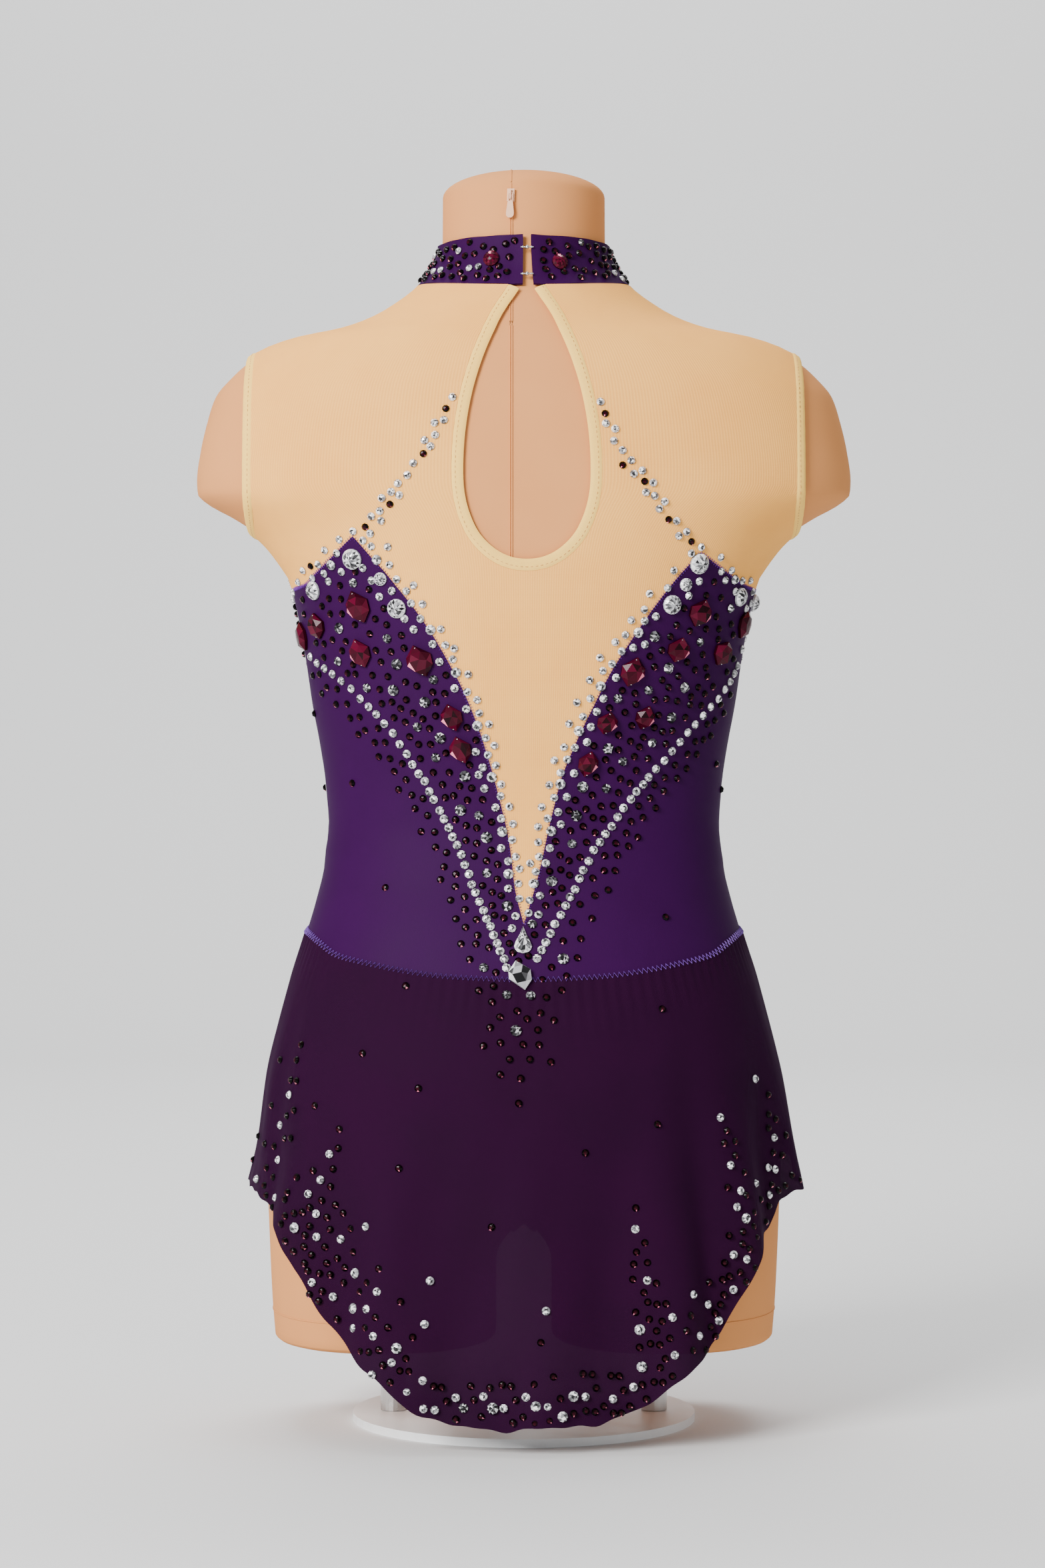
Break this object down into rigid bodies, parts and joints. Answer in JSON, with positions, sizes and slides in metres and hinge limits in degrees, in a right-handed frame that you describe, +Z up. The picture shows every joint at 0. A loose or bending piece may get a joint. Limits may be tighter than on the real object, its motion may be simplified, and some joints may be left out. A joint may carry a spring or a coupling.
{
  "type": "rhythmic gymnastics leotard on a limbless dress form",
  "caption": "Sleeveless leotard with stand collar, drop-shaped back opening, long back V, sewn stones and attached skirt, worn by a limbless dress form on a round base.",
  "frame": {"origin": "centre of the base plate's flat underside, on the floor", "axes": "+Z up, the garment's back faces -Y, +X is to the right seen from the garment's back"},
  "size_m": [0.4, 0.255, 0.7662],
  "materials": {
    "knit": "satin stretch knit",
    "nude_mesh": "matt fine mesh",
    "nude_elastic": "matt elastic",
    "skirt_mesh": "matt soft mesh",
    "form_cover": "matt jersey cover",
    "garnet": "faceted, foil backed",
    "crystal": "faceted, foil backed",
    "steel": "satin",
    "nude_paint": "satin lacquer",
    "white_paint": "satin paint"
  },
  "bodies": {
    "dressed_form": {"dress_form": "form_cover", "collar": "knit", "yoke_back": "nude_mesh", "yoke_front": "nude_mesh", "bodice_back": "knit", "bodice_front": "knit", "brief_back": "knit", "brief_front": "knit", "brief_gusset": "knit", "skirt_back": "skirt_mesh", "skirt_front": "skirt_mesh", "armhole_binding_right": "nude_elastic", "armhole_binding_left": "nude_elastic", "keyhole_binding": "nude_elastic", "collar_hook_upper": "steel", "collar_hook_lower": "steel", "zip_slider": "nude_paint", "stand_base": "white_paint", "stand_rod_right": "steel", "stand_rod_left": "steel", "stone_cosmic_left_a": "garnet", "stone_cosmic_left_b": "garnet", "stone_cosmic_left_c": "garnet", "stone_cosmic_left_d": "garnet", "stone_cosmic_left_e": "garnet", "stone_cosmic_left_f": "garnet", "stone_cosmic_left_side": "garnet", "stone_cosmic_right_a": "garnet", "stone_cosmic_right_b": "garnet", "stone_cosmic_right_c": "garnet", "stone_cosmic_right_d": "garnet", "stone_cosmic_right_e": "garnet", "stone_cosmic_right_f": "garnet", "stone_cosmic_right_g": "garnet", "stone_cosmic_right_side": "garnet", "stone_cosmic_waist": "crystal", "stone_pear": "crystal", "stone_round_left_a": "crystal", "stone_round_left_b": "crystal", "stone_round_left_c": "crystal", "stone_round_left_d": "crystal", "stone_round_right_a": "crystal", "stone_round_right_b": "crystal", "stone_round_right_c": "crystal", "stone_round_right_d": "crystal", "stone_round_right_side": "crystal", "stone_round_collar_left": "garnet", "stone_round_collar_right": "garnet"},
    "zip_tab": {"zip_pull": "nude_paint"}
  },
  "joints": [
    {"name": "zip_pull_swing", "type": "hinge", "parent": "dressed_form", "child": "zip_tab", "pos_m": [-0.008, -0.04633, 0.74546], "axis": [-0.9885, 0.1512, 0], "range_deg": [0, 150]}
  ]
}
